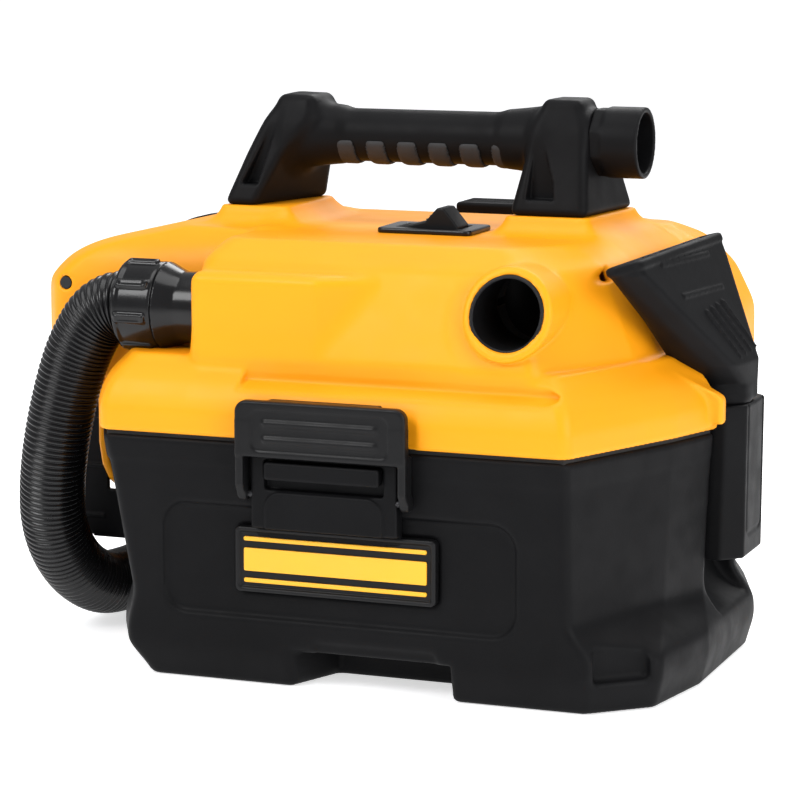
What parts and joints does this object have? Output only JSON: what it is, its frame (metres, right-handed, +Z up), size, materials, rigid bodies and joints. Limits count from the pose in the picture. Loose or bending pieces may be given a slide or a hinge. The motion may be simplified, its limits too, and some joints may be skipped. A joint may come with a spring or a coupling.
{
  "type": "shop vacuum",
  "caption": "Portable wet and dry shop vacuum: black tank, yellow lift-off head with carry handle, front latch, ribbed hose and stored tools.",
  "frame": {"origin": "on the floor, under the middle of the machine's bounding box measured without the hose", "axes": "+Z up, the latch and badge face -Y, +X is the side with the stored wide nozzle"},
  "size_m": [0.4125, 0.304, 0.314],
  "materials": {
    "black_textured_plastic": "fine spark texture",
    "black_smooth_plastic": "satin",
    "gloss_black_plastic": "gloss",
    "yellow_plastic": "semi-matt, fine texture",
    "yellow_paint": "satin",
    "gasket_rubber": "matt",
    "grip_rubber": "soft matt",
    "hose_plastic": "satin ribbed",
    "steel": "zinc plated",
    "black_steel": "black oxide",
    "laminated_iron": "laminated",
    "copper_winding": "varnished copper",
    "cast_aluminium": "as cast",
    "filter_paper": "pleated",
    "orange_plastic": "satin",
    "green_board": "solder mask",
    "grey_foam": "open cell",
    "red_plastic": "satin"
  },
  "bodies": {
    "tank_body": {"tank": "black_textured_plastic", "tank_gasket": "gasket_rubber", "badge_plate": "black_textured_plastic", "badge_bars": "yellow_paint", "latch_bracket": "black_textured_plastic", "latch_pin": "black_steel"},
    "head_body": {"head_shell": "yellow_plastic", "motor_deck": "black_textured_plastic", "inlet_tube": "black_smooth_plastic", "port_liner": "black_smooth_plastic", "side_skirt": "yellow_plastic", "hose_cradle": "black_textured_plastic", "nozzle_holder": "black_textured_plastic", "handle": "black_textured_plastic", "grip_pads": "grip_rubber", "handle_screws": "steel", "head_screws": "black_steel", "switch_bezel": "gloss_black_plastic", "motor_housing": "black_smooth_plastic", "motor_stator": "laminated_iron", "motor_bearings": "steel", "fan_housing": "black_smooth_plastic", "filter_cage": "black_smooth_plastic", "filter_element": "filter_paper", "control_board": "green_board", "terminal_block": "gloss_black_plastic", "muffler_foam": "grey_foam", "cord_inlet_box": "black_textured_plastic", "vent_cowl": "black_textured_plastic", "hose_stub": "black_smooth_plastic", "hose_connector": "gloss_black_plastic", "hose": "hose_plastic", "hose_cuff": "gloss_black_plastic"},
    "rotor": {"motor_shaft": "steel", "motor_armature": "copper_winding", "fan_wheel": "cast_aluminium", "fan_nut": "steel"},
    "lever": {"latch_lever": "black_smooth_plastic"},
    "rocker": {"switch_rocker": "black_smooth_plastic"},
    "float": {"float_ball": "orange_plastic"},
    "knob": {"filter_knob": "yellow_plastic"},
    "nozzle": {"wide_nozzle": "black_textured_plastic"},
    "crevice": {"crevice_tool": "black_textured_plastic"},
    "pack": {"battery_pack": "black_textured_plastic"},
    "pack_button": {"battery_button": "red_plastic"},
    "collar": {"collar_nut": "gloss_black_plastic"}
  },
  "joints": [
    {"name": "head_lift", "type": "slide", "parent": "tank_body", "child": "head_body", "axis": [0, 0, 1], "range_m": [0, 0.15]},
    {"name": "latch_hinge", "type": "hinge", "parent": "tank_body", "child": "lever", "pos_m": [0.008, -0.1425, 0.108], "axis": [1, 0, 0], "range_deg": [0, 95]},
    {"name": "rocker_tilt", "type": "hinge", "parent": "head_body", "child": "rocker", "pos_m": [0.026, -0.022, 0.238], "axis": [0, 1, 0], "range_deg": [-7, 7]},
    {"name": "fan_spin", "type": "hinge", "parent": "head_body", "child": "rotor", "pos_m": [0.062, 0.01, 0.18], "axis": [0, 0, 1], "continuous": true},
    {"name": "float_rise", "type": "slide", "parent": "head_body", "child": "float", "axis": [0, 0, 1], "range_m": [0, 0.03]},
    {"name": "knob_turn", "type": "hinge", "parent": "head_body", "child": "knob", "pos_m": [0.062, 0.01, 0.06], "axis": [0, 0, 1], "range_deg": [0, 90]},
    {"name": "nozzle_pull", "type": "slide", "parent": "head_body", "child": "nozzle", "axis": [0, 0, 1], "range_m": [0, 0.08]},
    {"name": "crevice_pull", "type": "slide", "parent": "head_body", "child": "crevice", "axis": [1, 0, 0], "range_m": [0, 0.26]},
    {"name": "pack_slide", "type": "slide", "parent": "head_body", "child": "pack", "axis": [0, 1, 0], "range_m": [0, 0.1]},
    {"name": "pack_button_press", "type": "slide", "parent": "pack", "child": "pack_button", "axis": [0, 0, -1], "range_m": [0, 0.001], "stiffness_N_per_m": 600, "springref_m": -0.001},
    {"name": "collar_turn", "type": "hinge", "parent": "head_body", "child": "collar", "pos_m": [-0.118, -0.092, 0.2], "axis": [1, 0, 0], "range_deg": [0, 90]}
  ]
}
